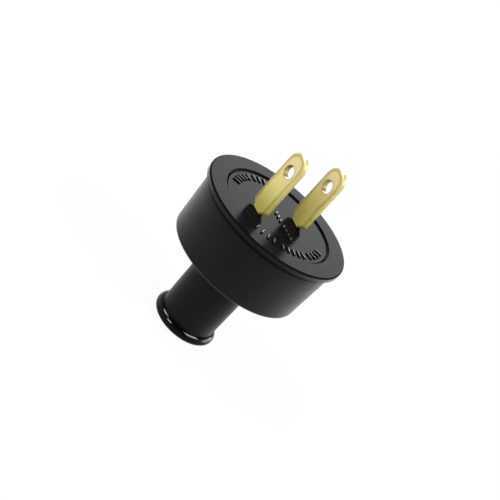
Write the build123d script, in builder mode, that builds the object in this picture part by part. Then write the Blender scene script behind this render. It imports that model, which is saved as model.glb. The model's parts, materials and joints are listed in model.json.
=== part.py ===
from build123d import *
import os

os.makedirs("parts", exist_ok=True)

# A rewireable two-blade rubber plug, in millimetres. It stands on its neck's end: +Z runs along
# the plug's axis to the tips of the blades, and X runs from one blade to the other.

# Rubber shell, outside
face_diameter = 39.0
lip_band = 1.3  # height of the lip around the face
lip_overhang = 1.1  # how far the lip stands out over the drum
drum_depth = 16.2  # from the face to the drum's flat back
drum_back_diameter = 34.8
neck_length = 21.1  # from the drum's back to the neck's end
neck_root_diameter = 15.2
neck_end_diameter = 14.4
bead_diameter = 16.7
bead_height = 2.8

# Rubber shell, inside
face_ring_width = 4.7  # smooth ring between the lip's edge and the round mouth
lip_thickness = 1.4  # rubber over the carrier's flange
flange_catch = 1.5  # how far the groove for the flange reaches behind the mouth's edge
seat_width = 1.8  # ledge under the flange
back_wall = 3.2  # rubber between the wire chamber and the drum's back
cord_bore_diameter = 8.4
cord_funnel = 2.0  # slope from the wire chamber into the cord bore
cord_mouth_lead = 0.6  # slope at the bore's outer end

# Blade carrier, a hard moulding that the rubber grips
disc_recess = 0.4  # from the rubber face down to the carrier's disc
flange_thickness = 2.5
barrier_thickness = 2.4  # wall between the two terminals
barrier_depth = 6.0

# Blades, on the standard two-blade pattern
blade_spacing = 12.7  # between the blades' middles
blade_width = 6.35
blade_thickness = 1.4
blade_reach = 16.6  # from the rubber face to the tip
blade_hole_diameter = 3.2
blade_hole_reach = 11.5  # from the rubber face to the hole's middle
blade_base_rise = 1.2  # of the bare blade's curved base, from its middle to its shoulders
blade_shoulder_round = 1.0
tang_width = 3.0  # from the curved base through the carrier and along the terminal foot
foot_eye_diameter = 4.2  # round end of the foot, around the screw
bend_radius = 0.3  # inside the bend into the foot

# Terminal screws
screw_setback = 0.6  # flat of the foot between its bend and the screw's hole
screw_diameter = 2.5
screw_head_diameter = 4.6
screw_head_height = 1.8
screw_reach = 1.6  # past the foot, into the carrier
driver_slot_width = 0.9
driver_slot_depth = 0.9

# Fits
carrier_clearance = 0.1  # carrier in the rubber
slot_clearance = 0.1  # tang in its slot
screw_clearance = 0.05  # screw in the foot's hole
pocket_clearance = 0.3  # screw's end in the carrier
barrier_clearance = 0.5  # barrier from the chamber's wall

# Sloped edges
neck_root_slope = 0.6  # where the neck meets the drum's back
drum_back_edge = 0.6
lip_slope = 0.5  # where the drum meets the lip's underside
lip_edge = 0.35
mouth_edge = 0.15
disc_edge = 0.4  # leaves a groove around the disc, inside the mouth
blade_edge = 0.3
screw_head_edge = 0.4

# Levels along the axis
back_z = neck_length
face_z = back_z + drum_depth
lip_z = face_z - lip_band
groove_top_z = face_z - lip_thickness
flange_top_z = groove_top_z - carrier_clearance
seat_z = flange_top_z - flange_thickness
chamber_floor_z = back_z + back_wall
disc_z = face_z - disc_recess
shoulder_z = disc_z + blade_base_rise
foot_z = seat_z - blade_thickness
tip_z = face_z + blade_reach
tip_middle_z = tip_z - blade_width / 2

# Radii around the axis
face_r = face_diameter / 2
drum_front_r = face_r - lip_overhang
drum_back_r = drum_back_diameter / 2
neck_root_r = neck_root_diameter / 2
neck_end_r = neck_end_diameter / 2
bead_round = bead_height / 2
bead_middle_r = bead_diameter / 2 - bead_round
mouth_r = face_r - face_ring_width
groove_r = mouth_r + flange_catch
chamber_r = groove_r - seat_width
cord_bore_r = cord_bore_diameter / 2
disc_r = mouth_r - carrier_clearance
flange_r = groove_r - carrier_clearance
barrier_r = chamber_r - barrier_clearance
screw_r = screw_diameter / 2
screw_head_r = screw_head_diameter / 2

# Places across the axis, on the right blade's side
blade_x = blade_spacing / 2
blade_half = blade_width / 2
blade_inner_x = blade_x - blade_thickness / 2
blade_outer_x = blade_x + blade_thickness / 2
screw_x = blade_outer_x + bend_radius + screw_setback + screw_clearance + screw_r

# Rubber shell: lip, tapered drum, neck and bead in one moulding, hollow for the carrier and the wires
with BuildPart() as rubber_shell:
    with BuildSketch(Plane.XZ) as outer_profile:
        with BuildLine() as outer_line:
            Polyline(
                (0, bead_round),
                (neck_end_r, bead_round),
                (neck_root_r, back_z),
                (drum_back_r, back_z),
                (drum_front_r, lip_z),
                (face_r, lip_z),
                (face_r, face_z),
                (0, face_z),
                close=True,
            )
        make_face()
        for corner, slope in (
            ((face_r, face_z), lip_edge),
            ((drum_front_r, lip_z), lip_slope),
            ((drum_back_r, back_z), drum_back_edge),
            ((neck_root_r, back_z), neck_root_slope),
        ):
            chamfer(outer_profile.vertices().sort_by_distance(corner)[0], slope)
        Rectangle(bead_middle_r, bead_height, align=(Align.MIN, Align.MIN))
        with Locations((bead_middle_r, bead_round)):
            Circle(bead_round)
    revolve(axis=Axis.Z)
    with BuildSketch(Plane.XZ) as hollow_profile:
        with BuildLine() as hollow_line:
            Polyline(
                (0, 0),
                (cord_bore_r + cord_mouth_lead, 0),
                (cord_bore_r, cord_mouth_lead),
                (cord_bore_r, chamber_floor_z - cord_funnel),
                (cord_bore_r + cord_funnel, chamber_floor_z),
                (chamber_r, chamber_floor_z),
                (chamber_r, seat_z),
                (groove_r, seat_z),
                (groove_r, groove_top_z),
                (mouth_r, groove_top_z),
                (mouth_r, face_z),
                (0, face_z),
                close=True,
            )
        make_face()
    revolve(axis=Axis.Z, mode=Mode.SUBTRACT)
    face_ring = rubber_shell.faces().sort_by(Axis.Z)[-1]
    chamfer(face_ring.inner_wires()[0].edges(), mouth_edge)

# Blade carrier: a flanged disc with a slot for each blade's tang, and a barrier between the terminals
with BuildPart() as blade_carrier:
    with BuildSketch(Plane.XZ) as disc_profile:
        with BuildLine() as disc_line:
            Polyline(
                (0, seat_z),
                (flange_r, seat_z),
                (flange_r, flange_top_z),
                (disc_r, flange_top_z),
                (disc_r, disc_z),
                (0, disc_z),
                close=True,
            )
        make_face()
        chamfer(disc_profile.vertices().sort_by_distance((disc_r, disc_z))[0], disc_edge)
    revolve(axis=Axis.Z)
    with BuildSketch(Plane.XY.offset(seat_z)) as blade_slots:
        with Locations((-blade_x, 0), (blade_x, 0)):
            Rectangle(blade_thickness + 2 * slot_clearance, tang_width + 2 * slot_clearance)
    extrude(amount=disc_z - seat_z, mode=Mode.SUBTRACT)
    seat_face = blade_carrier.faces().sort_by(Axis.Z)[0]
    chamfer([wire.edges() for wire in seat_face.inner_wires()], bend_radius)
    with BuildSketch(Plane.XY.offset(seat_z)) as screw_pockets:
        with Locations((-screw_x, 0), (screw_x, 0)):
            Circle(screw_r + pocket_clearance)
    extrude(amount=screw_reach + pocket_clearance, mode=Mode.SUBTRACT)
    with BuildSketch(Plane.XY.offset(seat_z)) as barrier_outline:
        Circle(barrier_r)
        Rectangle(barrier_thickness, 2 * barrier_r, mode=Mode.INTERSECT)
    extrude(amount=-barrier_depth)

# Right blade: a brass strip with a round tip and a curved base, whose narrower tang goes through the
# carrier and is bent outwards behind it into a tapped foot
with BuildPart() as blade_right:
    with BuildSketch(Plane.YZ.offset(blade_inner_x)) as blade_outline:
        with BuildLine() as blade_line:
            Line((blade_half, shoulder_z), (blade_half, tip_middle_z))
            ThreePointArc((blade_half, tip_middle_z), (0, tip_z), (-blade_half, tip_middle_z))
            Line((-blade_half, tip_middle_z), (-blade_half, shoulder_z))
            ThreePointArc((-blade_half, shoulder_z), (0, disc_z), (blade_half, shoulder_z))
        make_face()
        fillet(blade_outline.vertices().group_by(Axis.Y)[0], blade_shoulder_round)
    extrude(amount=blade_thickness)
    chamfer(blade_right.faces().filter_by(Axis.X).edges(), blade_edge)
    with BuildSketch(Plane.YZ.offset(blade_x)) as blade_hole:
        with Locations((0, face_z + blade_hole_reach)):
            Circle(blade_hole_diameter / 2)
    extrude(amount=blade_thickness, both=True, mode=Mode.SUBTRACT)
    with BuildSketch(Plane.YZ.offset(blade_inner_x)) as tang_outline:
        with Locations((0, foot_z)):
            Rectangle(tang_width, shoulder_z - foot_z, align=(Align.CENTER, Align.MIN))
    extrude(amount=blade_thickness)
    with BuildSketch(Plane.XY.offset(foot_z)) as foot_outline:
        with Locations((blade_inner_x, 0)):
            Rectangle(screw_x - blade_inner_x, tang_width, align=(Align.MIN, Align.CENTER))
        with Locations((screw_x, 0)):
            Circle(foot_eye_diameter / 2)
            Circle(screw_r + screw_clearance, mode=Mode.SUBTRACT)
    extrude(amount=blade_thickness)
    cross_edges = blade_right.edges().filter_by(Axis.Y)
    inner_bend = cross_edges.sort_by_distance((blade_outer_x, 0, seat_z))[0]
    fillet(inner_bend, bend_radius)
    cross_edges = blade_right.edges().filter_by(Axis.Y)
    outer_bend = cross_edges.sort_by_distance((blade_inner_x, 0, foot_z))[0]
    fillet(outer_bend, blade_thickness + bend_radius)

with BuildPart() as blade_left:
    mirror(blade_right.part, about=Plane.YZ)

# Right terminal screw: its head clamps a wire against the foot from behind
with BuildPart() as terminal_screw_right:
    head_z = foot_z - screw_head_height
    with BuildSketch(Plane.XZ) as screw_profile:
        with BuildLine() as screw_line:
            Polyline(
                (screw_x, head_z),
                (screw_x + screw_head_r, head_z),
                (screw_x + screw_head_r, foot_z),
                (screw_x + screw_r, foot_z),
                (screw_x + screw_r, seat_z + screw_reach),
                (screw_x, seat_z + screw_reach),
                close=True,
            )
        make_face()
        head_corner = screw_profile.vertices().sort_by_distance((screw_x + screw_head_r, head_z))[0]
        chamfer(head_corner, screw_head_edge)
    revolve(axis=Axis((screw_x, 0, 0), (0, 0, 1)))
    with BuildSketch(Plane.XY.offset(head_z)) as driver_slot:
        with Locations((screw_x, 0)):
            Rectangle(driver_slot_width, screw_head_diameter)
    extrude(amount=driver_slot_depth, mode=Mode.SUBTRACT)

with BuildPart() as terminal_screw_left:
    mirror(terminal_screw_right.part, about=Plane.YZ)

rubber_shell.part.label = "rubber_shell"
blade_carrier.part.label = "blade_carrier"
blade_left.part.label = "blade_left"
blade_right.part.label = "blade_right"
terminal_screw_left.part.label = "terminal_screw_left"
terminal_screw_right.part.label = "terminal_screw_right"
for piece in (
    rubber_shell,
    blade_carrier,
    blade_left,
    blade_right,
    terminal_screw_left,
    terminal_screw_right,
):
    export_step(piece.part, f"parts/{piece.part.label}.step")
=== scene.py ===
import json
import math

import bmesh
import bpy
from mathutils import Matrix, Vector


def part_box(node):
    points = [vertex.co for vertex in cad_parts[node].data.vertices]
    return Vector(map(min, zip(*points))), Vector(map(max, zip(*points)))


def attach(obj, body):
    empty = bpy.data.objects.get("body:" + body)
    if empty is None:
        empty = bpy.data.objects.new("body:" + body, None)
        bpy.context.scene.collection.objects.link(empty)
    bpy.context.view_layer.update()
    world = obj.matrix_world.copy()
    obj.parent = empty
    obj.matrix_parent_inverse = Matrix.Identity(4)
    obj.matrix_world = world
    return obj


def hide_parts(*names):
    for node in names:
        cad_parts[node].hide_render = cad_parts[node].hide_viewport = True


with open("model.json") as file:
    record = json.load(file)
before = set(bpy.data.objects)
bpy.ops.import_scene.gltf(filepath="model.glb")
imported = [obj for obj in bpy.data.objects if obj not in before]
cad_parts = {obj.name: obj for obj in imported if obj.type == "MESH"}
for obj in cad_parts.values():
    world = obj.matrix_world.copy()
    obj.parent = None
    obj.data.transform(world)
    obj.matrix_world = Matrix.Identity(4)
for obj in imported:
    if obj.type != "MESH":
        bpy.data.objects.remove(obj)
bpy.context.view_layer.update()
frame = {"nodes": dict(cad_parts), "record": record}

scene = bpy.context.scene
nodes = frame["nodes"]
MM = 0.001

# Levels and radii taken from the frame, in metres
shell_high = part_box("rubber_shell")[1]
face_z = shell_high.z
lip_r = shell_high.x
disc_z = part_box("blade_carrier")[1].z
blade_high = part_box("blade_left")[1]
tip_z = blade_high.z
blade_half = blade_high.y
tip_middle_z = tip_z - blade_half
blade_holes = next(mount for mount in frame["record"]["mounts"] if mount["name"] == "blade_holes")
hole_z = blade_holes["pos_m"][2]
hole_r = blade_holes["dims"]["r_mm"] * MM

# The photograph's camera, fitted to the outlines of the face, the drum, the neck and the blades
IMAGE_SIDE = 500
CAMERA_AZIMUTH = math.radians(-47.62)
CAMERA_ELEVATION = math.radians(22.78)
CAMERA_ROLL = math.radians(42.31)
CAMERA_DISTANCE = 320.2 * MM
FOCAL_PIXELS = 1400.6
FACE_CENTRE_PIXEL = (278.8, 215.2)
SENSOR_MM = 36
CLIP_START = 0.01
CLIP_END = 50

# Studio: its glow from the horizon to the top, between two heights, and from its dim to its bright side
HORIZON_GLOW = 0.8
TOP_GLOW = 0.06
GLOW_HEIGHTS = (0.05, 0.75)
BRIGHT_SIDE = (0.74, 0.67, 0)
DIM_SHARE = 0.25
DIM_FADE = (-0.8, 0.2)

# Floor: half of its side in metres, its grey for light, and the share of plain white that the camera sees
FLOOR_HALF = 4.0
FLOOR_GREY = (0.6, 0.6, 0.6, 1)
FLOOR_WHITE = 0.92

# Soft lamps: name, azimuth and elevation in degrees, width and height in metres, glow
LAMP_DISTANCE = 0.6
LAMPS = (
    ("left_lamp", 140, 56, 0.22, 0.33, 13),
    ("right_lamp", -68, 47, 0.44, 0.26, 11.2),
    ("back_lamp", 42.4, 23, 0.23, 0.23, 13.4),
    ("side_lamp", -12, 12, 0.46, 0.29, 3.5),
    ("fill_lamp", 189, 26, 0.19, 0.24, 10.4),
)

# Materials: noise scales per metre, the range that noise mostly covers, and bumps of a strength and a depth
NOISE_LOW = 0.3
NOISE_HIGH = 0.7
MOTTLE_SCALE = 350
GRAIN_SCALE = 5200
TARNISH_SCALE = 420
ROLLING_SCALES = (4200, 4200, 110)
MOTTLE_BUMP = (0.08, 0.05 * MM)
GRAIN_BUMP = (0.06, 0.02 * MM)
TARNISH_BUMP = (0.06, 0.03 * MM)
ROLLING_BUMP = (0.05, 0.01 * MM)

# Black materials: the shares of the colour in the dark and light mottle
DARK_SHARE = 0.7
LIGHT_SHARE = 1.3
SHEEN_ROUGHNESS = 0.35

# Brass: the tarnish's share in its change of colour, the rest being a painted shading by height; painted
# shade in the hole and along the outline, and a tint on the cut edge
METALLIC = 0.5
TARNISH_SHARE = 0.4
CLEAN = (1, 1, 1)
HOLE_RIM = 0.35 * MM
HOLE_PAINTED_SHADE = (0.50, 0.46, 0.50)
RIM_WIDTH = 1.3 * MM
RIM_WAVER = 0.15 * MM
RIM_LINE = 0.65
RIM_PAINTED_SHADE = (0.66, 0.57, 0.42)
CUT_WIDTH = 0.1 * MM
CUT_TINT = (0.76, 0.76, 0.84)

# Sockets of the Mix node for colours, by number, because its kinds of sockets share their names
MIX_FACTOR = 0
MIX_FIRST = 6
MIX_SECOND = 7
MIX_RESULT = 2

# Rubber shell, turned from the CAD's own section with its sloped edges made round
PLACE_DIGITS = 6
SAME_PLACE = 10**-PLACE_DIGITS
TURN_STEPS = 256
LONGEST_SLOPE = 1.0 * MM
LEAST_TURN = math.radians(25)
LEAST_LEAN = 0.3
ROUND_STEPS = 6
EDGE_SUPPORT = 0.06 * MM
SHARP_ANGLE = math.radians(32)

# Finishes of the shell, in the order of its materials, and the zones that have them; the last two are
# painted shade, under the lip and under the bead's crest
BODY, FACE, BEAD, LIP, UNDER_LIP_SHADE, BEAD_UNDERSIDE_SHADE = range(6)
FACE_EDGE = 0.36 * MM
LIP_BAND = 1.3 * MM
LIP_REACH = 2.0 * MM
UNDER_LIP_SHADE_BAND = 1.25 * MM
BEAD_HEIGHT = 2.8 * MM
BEAD_CREST = math.sin(math.radians(18))

# How far the slope around the carrier's disc faces upwards, as limits of its normal; that slope in the
# groove gets painted shade
SLOPE_LEAST = 0.5
SLOPE_MOST = 0.9

# Plain raised bars on the disc, in five short arcs, given in degrees, and a row
BAR_ARCS = ((74, 97), (107, 136), (214, 237), (248, 277), (288, 311))
BAR_STEP = math.radians(7.5)
BAR_RADIUS = 12.4 * MM
BAR_LENGTH = 2.2 * MM
BAR_WIDTH = 0.7 * MM
BAR_HEIGHT = 0.35 * MM
BAR_SIDES = 16
ROW_LEVELS = [y * MM for y in (1.0, -0.3, -1.6, -3.6, -4.9, -6.2, -7.5)]
ROW_LENGTH = 1.7 * MM
ROW_SLANT = math.radians(225)

# The dome of a bar, level by level: a share of its height and a share of its width
BAR_DOME = ((-0.2, 1.0), (0.35, 0.96), (0.65, 0.83), (0.86, 0.62), (0.97, 0.34), (1.0, 0.08))


def make_camera():
    """Stands where the photographer stood, and turns until the face's middle is at its pixel."""
    back = Vector(
        (
            math.sin(CAMERA_AZIMUTH) * math.cos(CAMERA_ELEVATION),
            -math.cos(CAMERA_AZIMUTH) * math.cos(CAMERA_ELEVATION),
            math.sin(CAMERA_ELEVATION),
        )
    )
    level_right = Vector((0, 0, 1)).cross(back).normalized()
    level_up = back.cross(level_right)
    right = level_right * math.cos(CAMERA_ROLL) + level_up * math.sin(CAMERA_ROLL)
    up = level_up * math.cos(CAMERA_ROLL) - level_right * math.sin(CAMERA_ROLL)
    aside = (IMAGE_SIDE / 2 - FACE_CENTRE_PIXEL[0]) / FOCAL_PIXELS
    above = (FACE_CENTRE_PIXEL[1] - IMAGE_SIDE / 2) / FOCAL_PIXELS
    aim_back = (back - right * aside - up * above).normalized()
    aim_right = (right - aim_back * right.dot(aim_back)).normalized()
    aim_up = aim_back.cross(aim_right)
    data = bpy.data.cameras.new("photo_camera")
    data.sensor_width = SENSOR_MM
    data.lens = FOCAL_PIXELS * SENSOR_MM / IMAGE_SIDE
    data.clip_start = CLIP_START
    data.clip_end = CLIP_END
    camera = bpy.data.objects.new("photo_camera", data)
    scene.collection.objects.link(camera)
    place = Matrix.Translation(Vector((0, 0, face_z)) + back * CAMERA_DISTANCE)
    turn = Matrix((aim_right, aim_up, aim_back)).transposed()
    camera.matrix_world = place @ turn.to_4x4()
    scene.camera = camera


def add(tree, kind, sockets=None, **settings):
    """Adds a node, sets its properties and the default values of its sockets."""
    made = tree.nodes.new(kind)
    for name, value in settings.items():
        setattr(made, name, value)
    for socket, value in (sockets or {}).items():
        made.inputs[socket].default_value = value
    return made


def new_material(name):
    """A material with nodes, its tree, its Principled shader and a socket with places on the object."""
    material = bpy.data.materials.new(name)
    material.use_nodes = True
    tree = material.node_tree
    place = add(tree, "ShaderNodeTexCoord").outputs["Object"]
    return material, tree, tree.nodes["Principled BSDF"], place


def noise(tree, place, scale, detail, stretch=None):
    """Noise whose grains are about 1/scale metres wide, along stretched places if wanted."""
    if stretch:
        mapping = add(tree, "ShaderNodeMapping", {"Scale": stretch})
        tree.links.new(place, mapping.inputs["Vector"])
        place = mapping.outputs["Vector"]
    made = add(tree, "ShaderNodeTexNoise", {"Scale": scale, "Detail": detail})
    tree.links.new(place, made.inputs["Vector"])
    return made.outputs["Fac"]


def spread(tree, value, low, high, start=NOISE_LOW, end=NOISE_HIGH):
    """Maps a value from start..end to low..high."""
    made = add(
        tree,
        "ShaderNodeMapRange",
        {"From Min": start, "From Max": end, "To Min": low, "To Max": high},
    )
    tree.links.new(value, made.inputs["Value"])
    return made.outputs["Result"]


def shades(tree, value, first, last):
    """Colours from first to last by a value, over the range of noise."""
    made = add(tree, "ShaderNodeValToRGB")
    points = made.color_ramp.elements
    points[0].position = NOISE_LOW
    points[0].color = (*first, 1)
    points[1].position = NOISE_HIGH
    points[1].color = (*last, 1)
    tree.links.new(value, made.inputs["Fac"])
    return made.outputs["Color"]


def tinted(tree, colour, value, start, end, first, last, between=()):
    """A colour times the tints that go with a value, from first at start to last at end."""
    ramp = add(tree, "ShaderNodeValToRGB")
    points = ramp.color_ramp.elements
    points[0].color = (*first, 1)
    points[1].color = (*last, 1)
    for position, tint in between:
        points.new(position).color = (*tint, 1)
    tree.links.new(spread(tree, value, 0, 1, start, end), ramp.inputs["Fac"])
    made = add(tree, "ShaderNodeMix", {MIX_FACTOR: 1}, data_type="RGBA", blend_type="MULTIPLY")
    tree.links.new(colour, made.inputs[MIX_FIRST])
    tree.links.new(ramp.outputs["Color"], made.inputs[MIX_SECOND])
    return made.outputs[MIX_RESULT]


def bumps(tree, shader, layers):
    """Chains bump layers of (height, strength, depth) into the shader's normal."""
    before = None
    for height, strength, depth in layers:
        made = add(tree, "ShaderNodeBump", {"Strength": strength, "Distance": depth})
        tree.links.new(height, made.inputs["Height"])
        if before:
            tree.links.new(before, made.inputs["Normal"])
        before = made.outputs["Normal"]
    tree.links.new(before, shader.inputs["Normal"])


def black_material(name, black, ior, sheen, smooth, rough):
    """Black rubber or plastic with a faint mottle in its colour and its gloss, and a fine grain."""
    material, tree, shader, place = new_material(name)
    shader.inputs["IOR"].default_value = ior
    shader.inputs["Sheen Weight"].default_value = sheen
    shader.inputs["Sheen Roughness"].default_value = SHEEN_ROUGHNESS
    mottle = noise(tree, place, MOTTLE_SCALE, detail=3)
    grain = noise(tree, place, GRAIN_SCALE, detail=2)
    tree.links.new(spread(tree, mottle, smooth, rough), shader.inputs["Roughness"])
    dark = [DARK_SHARE * part for part in black]
    light = [LIGHT_SHARE * part for part in black]
    tree.links.new(shades(tree, mottle, dark, light), shader.inputs["Base Color"])
    bumps(tree, shader, ((grain, *GRAIN_BUMP), (mottle, *MOTTLE_BUMP)))
    return material


def distance(tree, y, z, centre_z):
    """How far a place lies from a centre on the axis, in the plane of the blades."""
    flat = add(tree, "ShaderNodeCombineXYZ")
    tree.links.new(y, flat.inputs["Y"])
    tree.links.new(z, flat.inputs["Z"])
    made = add(tree, "ShaderNodeVectorMath", {1: (0, 0, centre_z)}, operation="DISTANCE")
    tree.links.new(flat.outputs[0], made.inputs[0])
    return made.outputs["Value"]


def blade_painted_shade_and_tint(tree, parts, colour, tarnish):
    """Painted shade in the punched hole and as a brown line along the blade's outline, and a darker, bluish
    tint on the cut edge.
    """
    y = parts.outputs["Y"]
    z = parts.outputs["Z"]
    from_hole = distance(tree, y, z, hole_z)
    # Painted shade in and around the punched hole
    colour = tinted(tree, colour, from_hole, hole_r, hole_r + HOLE_RIM, HOLE_PAINTED_SHADE, CLEAN)
    upper = add(tree, "ShaderNodeMath", {1: tip_middle_z}, operation="MAXIMUM")
    tree.links.new(z, upper.inputs[0])
    from_middle = distance(tree, y, upper.outputs[0], tip_middle_z)
    uneven = add(tree, "ShaderNodeMath", operation="ADD")
    tree.links.new(from_middle, uneven.inputs[0])
    tree.links.new(spread(tree, tarnish, -RIM_WAVER, RIM_WAVER), uneven.inputs[1])
    # Painted shade: a brown line along the outline, made uneven by the tarnish noise
    rim_start = blade_half - RIM_WIDTH
    cut_start = blade_half - CUT_WIDTH
    line = ((RIM_LINE, RIM_PAINTED_SHADE),)
    colour = tinted(tree, colour, uneven.outputs[0], rim_start, cut_start, CLEAN, CLEAN, line)
    return tinted(tree, colour, from_middle, cut_start, blade_half, CLEAN, CUT_TINT)


def brass_material(name, low, high, low_z, high_z, smooth, rough, tints=None):
    """Brass with the fine lines of the rolling along its length, a random tarnish, and a painted shading of
    its colour by height.
    """
    material, tree, shader, place = new_material(name)
    shader.inputs["Metallic"].default_value = METALLIC
    lines = noise(tree, place, 1, detail=3, stretch=ROLLING_SCALES)
    tarnish = noise(tree, place, TARNISH_SCALE, detail=3)
    tree.links.new(spread(tree, lines, smooth, rough), shader.inputs["Roughness"])
    parts = add(tree, "ShaderNodeSeparateXYZ")
    tree.links.new(place, parts.inputs["Vector"])
    # Painted shading: the colour runs from low to high with height, mottled by the tarnish
    tarnish_and_painted_shading = add(tree, "ShaderNodeMath", {1: TARNISH_SHARE}, operation="MULTIPLY_ADD")
    tree.links.new(tarnish, tarnish_and_painted_shading.inputs[0])
    painted_height_shading = spread(tree, parts.outputs["Z"], 0, 1 - TARNISH_SHARE, low_z, high_z)
    tree.links.new(painted_height_shading, tarnish_and_painted_shading.inputs[2])
    colour = shades(tree, tarnish_and_painted_shading.outputs[0], low, high)
    if tints:
        colour = tints(tree, parts, colour, tarnish)
    tree.links.new(colour, shader.inputs["Base Color"])
    bumps(tree, shader, ((lines, *ROLLING_BUMP), (tarnish, *TARNISH_BUMP)))
    return material


def read_section(node):
    """The closed section of a turned CAD node, as (radius, height), from its edges at y = 0, x > 0."""
    mesh = bmesh.new()
    mesh.from_mesh(nodes[node].data)
    bmesh.ops.remove_doubles(mesh, verts=mesh.verts, dist=SAME_PLACE)
    seam = {vert for vert in mesh.verts if abs(vert.co.y) < SAME_PLACE and vert.co.x > 0}
    here = max(seam, key=lambda vert: (round(vert.co.z, PLACE_DIGITS), vert.co.x))
    walk = []
    while here:
        walk.append(Vector((here.co.x, here.co.z)))
        seam.discard(here)
        beside = [edge.other_vert(here) for edge in here.link_edges]
        ahead = [vert for vert in beside if vert in seam]
        here = max(ahead, key=lambda vert: vert.co.x) if ahead else None
    mesh.free()
    return walk


def round_section(walk):
    """Turns each short slope between two edges into a round that leaves both edges smoothly."""
    made = []
    count = len(walk)
    for i in range(count):
        before, here, ahead, after = (walk[(i + k) % count] for k in (-1, 0, 1, 2))
        slope = ahead - here
        turn_in = (here - before).angle_signed(slope)
        turn_out = slope.angle_signed(after - ahead)
        made.append(here)
        is_slope = (
            slope.length < LONGEST_SLOPE
            and min(abs(turn_in), abs(turn_out)) > LEAST_TURN
            and turn_in * turn_out > 0
            and min(abs(slope.x), abs(slope.y)) > LEAST_LEAN * slope.length
        )
        if is_slope:
            reach = slope.length * math.sin(abs(turn_out)) / math.sin(abs(turn_in) + abs(turn_out))
            corner = here + (here - before).normalized() * reach
            for step in range(1, ROUND_STEPS):
                t = step / ROUND_STEPS
                made.append(here * (1 - t) ** 2 + corner * 2 * t * (1 - t) + ahead * t**2)
        elif slope.length > 4 * EDGE_SUPPORT:
            along = slope.normalized() * EDGE_SUPPORT
            made.extend((here + along, ahead - along))
    return made


def split_section(walk, level):
    """Adds a point wherever the section passes a level."""
    made = []
    for here, ahead in zip(walk, walk[1:] + walk[:1]):
        made.append(here)
        if min(here.y, ahead.y) < level < max(here.y, ahead.y):
            made.append(here.lerp(ahead, (level - here.y) / (ahead.y - here.y)))
    return made


def add_piece(name, mesh, materials, node=None):
    """Puts a mesh with its materials on the plug's one body, in place of a CAD node if one is named."""
    for material in materials:
        mesh.materials.append(material)
    piece = bpy.data.objects.new(name, mesh)
    scene.collection.objects.link(piece)
    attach(piece, "root")
    if node:
        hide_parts(node)


def new_mesh(name, verts, faces):
    """A mesh that is smooth apart from its sharp edges."""
    mesh = bpy.data.meshes.new(name)
    mesh.from_pydata(verts, [], faces)
    mesh.validate()
    mesh.shade_smooth()
    mesh.set_sharp_from_angle(angle=SHARP_ANGLE)
    return mesh


def shell_finish(polygon):
    """The finish of a face of the shell, by its zone; all that lies outside the zones has the body's."""
    lip_z = face_z - LIP_BAND
    height = polygon.center.z
    is_outside = polygon.center.xy.length > lip_r - LIP_REACH
    if height > face_z - FACE_EDGE:
        return FACE
    if is_outside and height > lip_z:
        return LIP
    # Painted shade: a band on the drum just under the lip
    if is_outside and height > lip_z - UNDER_LIP_SHADE_BAND:
        return UNDER_LIP_SHADE
    # Below its crest the bead gets painted shade: a darker, duller copy of its gloss
    if height < BEAD_HEIGHT:
        return BEAD if polygon.normal.z > BEAD_CREST else BEAD_UNDERSIDE_SHADE
    return BODY


def make_shell(materials):
    """The rubber shell, turned finely from the CAD's section, with a finish for each of its zones, two of
    them painted shade.
    """
    walk = round_section(read_section("rubber_shell"))
    walk = split_section(walk, face_z - LIP_BAND - UNDER_LIP_SHADE_BAND)
    count = len(walk)
    verts = []
    faces = []
    for step in range(TURN_STEPS):
        angle = 2 * math.pi * step / TURN_STEPS
        for point in walk:
            verts.append((point.x * math.cos(angle), point.x * math.sin(angle), point.y))
        here = step * count
        ahead = (step + 1) % TURN_STEPS * count
        for i in range(count):
            k = (i + 1) % count
            faces.append((here + i, here + k, ahead + k, ahead + i))
    mesh = new_mesh("rubber_body", verts, faces)
    for polygon in mesh.polygons:
        polygon.material_index = shell_finish(polygon)
    add_piece("rubber_body", mesh, materials, "rubber_shell")


def make_carrier(materials):
    """The carrier, with the CAD's own mesh: a smooth disc, and painted shade on the slope around it in the
    groove.
    """
    mesh = nodes["blade_carrier"].data.copy()
    mesh.materials.clear()
    for polygon in mesh.polygons:
        # Painted shade on the groove's slope
        polygon.material_index = int(SLOPE_LEAST < polygon.normal.z < SLOPE_MOST)
    add_piece("carrier_disc", mesh, materials, "blade_carrier")


def bar(middle, along, length):
    """Corners and faces of one raised bar with round ends and a domed top, along a way on the disc."""
    side = Vector((-along.y, along.x, 0))
    straight = along * (length - BAR_WIDTH) / 2
    verts = []
    for level, grow in BAR_DOME:
        for i in range(BAR_SIDES):
            angle = (2 * i + 1) * math.pi / BAR_SIDES
            end = straight if math.cos(angle) > 0 else -straight
            turn = (along * math.cos(angle) + side * math.sin(angle)) * grow * BAR_WIDTH / 2
            verts.append(middle + end + turn + Vector((0, 0, disc_z + level * BAR_HEIGHT)))
    top = len(verts) - BAR_SIDES
    faces = [tuple(reversed(range(BAR_SIDES))), tuple(range(top, len(verts)))]
    for level in range(0, top, BAR_SIDES):
        for i in range(BAR_SIDES):
            here = level + i
            ahead = level + (i + 1) % BAR_SIDES
            faces.append((here, ahead, ahead + BAR_SIDES, here + BAR_SIDES))
    return verts, faces


def arc_places():
    """Places and ways of the bars that point to the disc's middle."""
    places = []
    for arc in BAR_ARCS:
        start, end = (math.radians(angle) for angle in arc)
        count = round((end - start) / BAR_STEP)
        for i in range(count + 1):
            angle = start + (end - start) * i / count
            out = Vector((math.cos(angle), math.sin(angle), 0))
            places.append((out * BAR_RADIUS, out))
    return places


def row_places():
    """Places and ways of the slanted bars between the blades."""
    along = Vector((math.cos(ROW_SLANT), math.sin(ROW_SLANT), 0))
    return [(Vector((0, y, 0)), along) for y in ROW_LEVELS]


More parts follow.
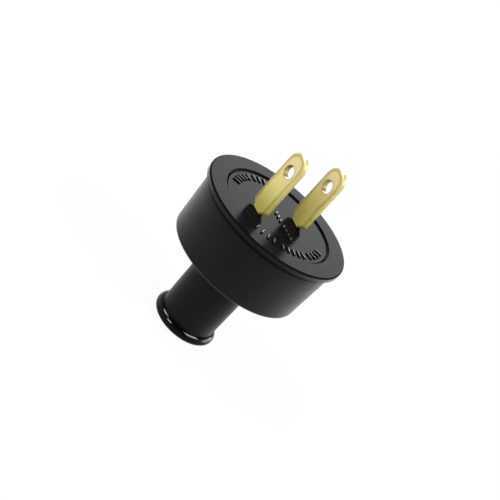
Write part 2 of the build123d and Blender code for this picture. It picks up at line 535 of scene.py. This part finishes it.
def make_bars(name, places, length, material):
    """Plain raised bars on the disc."""
    verts = []
    faces = []
    for middle, along in places:
        bar_verts, bar_faces = bar(middle, along, length)
        faces.extend(tuple(len(verts) + v for v in face) for face in bar_faces)
        verts.extend(bar_verts)
    add_piece(name, new_mesh(name, verts, faces), [material])


def make_floor():
    """A white floor that lights the object and keeps its shadow."""
    mesh = bpy.data.meshes.new("floor")
    corners = [(x * FLOOR_HALF, y * FLOOR_HALF, 0) for x, y in ((-1, -1), (1, -1), (1, 1), (-1, 1))]
    mesh.from_pydata(corners, [], [(0, 1, 2, 3)])
    floor = bpy.data.objects.new("floor", mesh)
    scene.collection.objects.link(floor)
    material = bpy.data.materials.new("white_floor")
    material.use_nodes = True
    tree = material.node_tree
    tree.nodes.clear()
    out = add(tree, "ShaderNodeOutputMaterial")
    mix = add(tree, "ShaderNodeMixShader")
    matt = add(tree, "ShaderNodeBsdfDiffuse", {"Color": FLOOR_GREY})
    glow = add(tree, "ShaderNodeEmission", {"Color": (1, 1, 1, 1), "Strength": 1})
    path = add(tree, "ShaderNodeLightPath")
    share = add(tree, "ShaderNodeMath", {1: FLOOR_WHITE}, operation="MULTIPLY")
    tree.links.new(path.outputs["Is Camera Ray"], share.inputs[0])
    tree.links.new(share.outputs[0], mix.inputs["Fac"])
    tree.links.new(matt.outputs[0], mix.inputs[1])
    tree.links.new(glow.outputs[0], mix.inputs[2])
    tree.links.new(mix.outputs[0], out.inputs["Surface"])
    mesh.materials.append(material)


def make_world():
    """White behind the object; for its light and its reflections a studio that is brighter on one side."""
    world = bpy.data.worlds.new("studio")
    scene.world = world
    world.use_nodes = True
    tree = world.node_tree
    tree.nodes.clear()
    out = add(tree, "ShaderNodeOutputWorld")
    mix = add(tree, "ShaderNodeMixShader")
    white = add(tree, "ShaderNodeBackground", {"Color": (1, 1, 1, 1), "Strength": 1})
    studio = add(tree, "ShaderNodeBackground", {"Strength": 1})
    path = add(tree, "ShaderNodeLightPath")
    way = add(tree, "ShaderNodeTexCoord")
    parts = add(tree, "ShaderNodeSeparateXYZ")
    tree.links.new(way.outputs["Generated"], parts.inputs["Vector"])
    side = add(tree, "ShaderNodeVectorMath", {1: BRIGHT_SIDE}, operation="DOT_PRODUCT")
    tree.links.new(way.outputs["Generated"], side.inputs[0])
    by_height = spread(tree, parts.outputs["Z"], HORIZON_GLOW, TOP_GLOW, *GLOW_HEIGHTS)
    by_side = spread(tree, side.outputs["Value"], DIM_SHARE, 1, *DIM_FADE)
    level = add(tree, "ShaderNodeMath", operation="MULTIPLY")
    tree.links.new(by_height, level.inputs[0])
    tree.links.new(by_side, level.inputs[1])
    tree.links.new(level.outputs[0], studio.inputs["Color"])
    tree.links.new(path.outputs["Is Camera Ray"], mix.inputs["Fac"])
    tree.links.new(studio.outputs[0], mix.inputs[1])
    tree.links.new(white.outputs[0], mix.inputs[2])
    tree.links.new(mix.outputs[0], out.inputs["Surface"])


def make_lamp(name, azimuth, elevation, width, height, glow):
    """A soft lamp, seen from the plug in a direction, that faces the plug with an even glow."""
    data = bpy.data.lights.new(name, "AREA")
    data.shape = "RECTANGLE"
    data.size = width
    data.size_y = height
    data.energy = glow * math.pi * width * height
    lamp = bpy.data.objects.new(name, data)
    scene.collection.objects.link(lamp)
    azimuth = math.radians(azimuth)
    elevation = math.radians(elevation)
    away = Vector(
        (
            math.cos(azimuth) * math.cos(elevation),
            math.sin(azimuth) * math.cos(elevation),
            math.sin(elevation),
        )
    )
    lamp.location = Vector((0, 0, face_z / 2)) + away * LAMP_DISTANCE
    lamp.rotation_euler = away.to_track_quat("Z", "Y").to_euler()


make_camera()
make_floor()
make_world()
for lamp_values in LAMPS:
    make_lamp(*lamp_values)

rubber = black_material(
    "satin_rubber", (0.0015, 0.0015, 0.0016), ior=1.20, sheen=0.36, smooth=0.36, rough=0.46
)
face_rubber = black_material(
    "smooth_rubber", (0.0029, 0.0029, 0.0036), ior=1.038, sheen=0.0, smooth=0.20, rough=0.26
)
lip_rubber = black_material(
    "lip_rubber", (0.0006, 0.0006, 0.0006), ior=1.19, sheen=0.95, smooth=0.36, rough=0.46
)
# Painted shade: a darker, duller rubber for the band under the lip
under_lip_shade_rubber = black_material(
    "under_lip_shade_rubber", (0.0008, 0.0008, 0.0008), ior=1.13, sheen=0.06, smooth=0.40, rough=0.50
)
bead_rubber = black_material(
    "glossy_rubber", (0.0010, 0.0010, 0.0011), ior=1.40, sheen=0.0, smooth=0.06, rough=0.10
)
# Painted shade: a darker, duller copy of the bead's rubber for its underside
bead_underside_shade_rubber = black_material(
    "bead_underside_shade_rubber", (0.0008, 0.0008, 0.0009), ior=1.20, sheen=0.0, smooth=0.10, rough=0.16
)
carrier = black_material(
    "carrier_moulding", (0.0029, 0.0029, 0.0036), ior=1.038, sheen=0.0, smooth=0.16, rough=0.22
)
# Painted shade for the slope in the groove around the disc
groove = black_material(
    "painted_groove_shade", (0.0005, 0.0005, 0.0006), ior=1.02, sheen=0.0, smooth=0.40, rough=0.50
)
marks = black_material(
    "polished_marks", (0.0012, 0.0012, 0.0013), ior=1.19, sheen=0.0, smooth=0.14, rough=0.20
)
# Painted shading up the blades: olive-yellow at the base, paler at the tip, standing in for their
# reflections
strip = brass_material(
    "rolled_brass",
    low=(0.74, 0.675, 0.185),
    high=(0.67, 0.565, 0.27),
    low_z=disc_z,
    high_z=tip_z,
    smooth=0.38,
    rough=0.50,
    tints=blade_painted_shade_and_tint,
)
turned = brass_material(
    "turned_brass",
    low=(0.66, 0.50, 0.23),
    high=(0.74, 0.58, 0.28),
    low_z=0,
    high_z=disc_z,
    smooth=0.30,
    rough=0.45,
)

make_shell([rubber, face_rubber, bead_rubber, lip_rubber, under_lip_shade_rubber, bead_underside_shade_rubber])
make_carrier([carrier, groove])
make_bars("disc_arcs", arc_places(), BAR_LENGTH, marks)
make_bars("disc_row", row_places(), ROW_LENGTH, marks)
for name, material in (
    ("rubber_shell", rubber),
    ("blade_carrier", carrier),
    ("blade_left", strip),
    ("blade_right", strip),
    ("terminal_screw_left", turned),
    ("terminal_screw_right", turned),
):
    nodes[name].data.materials.clear()
    nodes[name].data.materials.append(material)

scene.view_settings.view_transform = "Standard"
